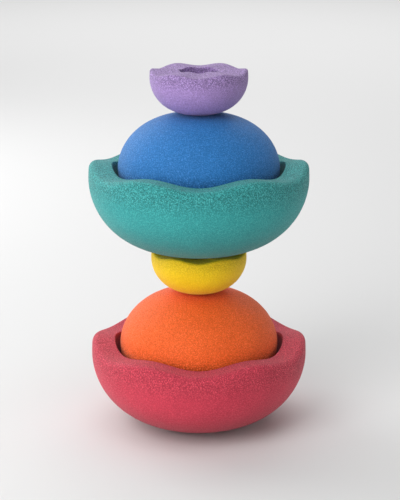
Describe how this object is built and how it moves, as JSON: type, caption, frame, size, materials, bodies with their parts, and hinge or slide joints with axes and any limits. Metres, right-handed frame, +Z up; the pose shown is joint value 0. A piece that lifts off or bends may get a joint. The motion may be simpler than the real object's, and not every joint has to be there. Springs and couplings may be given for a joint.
{
  "type": "stacking stone tower",
  "caption": "Free-standing tower of hollow moulded foam stones with wavy rims, stacked rim up and rim down and lifted apart by hand.",
  "frame": {"origin": "centre of the tower's flat foot, on the floor", "axes": "+Z up along the axis of the tower, -Y towards the viewer at a valley of every rim"},
  "size_m": [0.275, 0.275, 0.4558],
  "materials": {
    "red_foam": "matt bead foam with a fine pebbled skin",
    "orange_foam": "matt bead foam with a fine pebbled skin",
    "yellow_foam": "matt bead foam with a fine pebbled skin",
    "teal_foam": "matt bead foam with a fine pebbled skin",
    "blue_foam": "matt bead foam with a fine pebbled skin",
    "purple_foam": "matt bead foam with a fine pebbled skin"
  },
  "bodies": {
    "red_stone": {"red_large_stone": "red_foam"},
    "orange_stone": {"orange_medium_stone": "orange_foam"},
    "yellow_stone": {"yellow_small_stone": "yellow_foam"},
    "teal_stone": {"teal_large_stone": "teal_foam"},
    "blue_stone": {"blue_medium_stone": "blue_foam"},
    "purple_stone": {"purple_small_stone": "purple_foam"}
  },
  "joints": [
    {"name": "orange_lift", "type": "slide", "parent": "red_stone", "child": "orange_stone", "axis": [0, 0, 1], "range_m": [0, 0.06]},
    {"name": "yellow_lift", "type": "slide", "parent": "orange_stone", "child": "yellow_stone", "axis": [0, 0, 1], "range_m": [0, 0.04]},
    {"name": "teal_lift", "type": "slide", "parent": "yellow_stone", "child": "teal_stone", "axis": [0, 0, 1], "range_m": [0, 0.04]},
    {"name": "blue_lift", "type": "slide", "parent": "teal_stone", "child": "blue_stone", "axis": [0, 0, 1], "range_m": [0, 0.06]},
    {"name": "purple_lift", "type": "slide", "parent": "blue_stone", "child": "purple_stone", "axis": [0, 0, 1], "range_m": [0, 0.04]}
  ]
}
